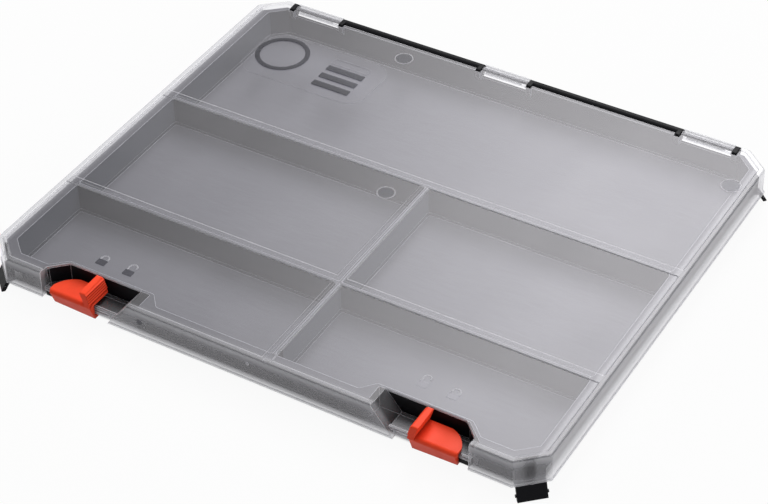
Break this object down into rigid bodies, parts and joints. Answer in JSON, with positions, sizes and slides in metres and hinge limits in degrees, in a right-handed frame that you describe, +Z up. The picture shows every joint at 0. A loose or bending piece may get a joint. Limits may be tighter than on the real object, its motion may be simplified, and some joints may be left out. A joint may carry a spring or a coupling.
{
  "type": "saw blade storage case",
  "caption": "Shallow compartment case for saw blades: black tray with fixed dividers, frosted hinged lid, sliding latches and flared corner clips.",
  "frame": {"origin": "middle of the case's box at the height of the corner clips' tips, which it stands on", "axes": "X along the hinge, to the right seen from the front; Y from the latches at the front to the hinge at the back; +Z up"},
  "size_m": [0.3486, 0.295, 0.0259],
  "materials": {
    "tray_black": "glossy moulded black polypropylene",
    "lid_frosted": "frosted see-through polypropylene",
    "latch_red": "satin moulded orange-red plastic"
  },
  "bodies": {
    "tray": {"tray": "tray_black"},
    "lid": {"lid": "lid_frosted"},
    "latch_left": {"latch_left": "latch_red"},
    "latch_right": {"latch_right": "latch_red"}
  },
  "joints": [
    {"name": "lid_hinge", "type": "hinge", "parent": "tray", "child": "lid", "pos_m": [0, 0.1429, 0.023], "axis": [-1, 0, 0], "range_deg": [0, 110]},
    {"name": "latch_left_slide", "type": "slide", "parent": "lid", "child": "latch_left", "axis": [1, 0, 0], "range_m": [0, 0.01]},
    {"name": "latch_right_slide", "type": "slide", "parent": "lid", "child": "latch_right", "axis": [-1, 0, 0], "range_m": [0, 0.01]}
  ]
}
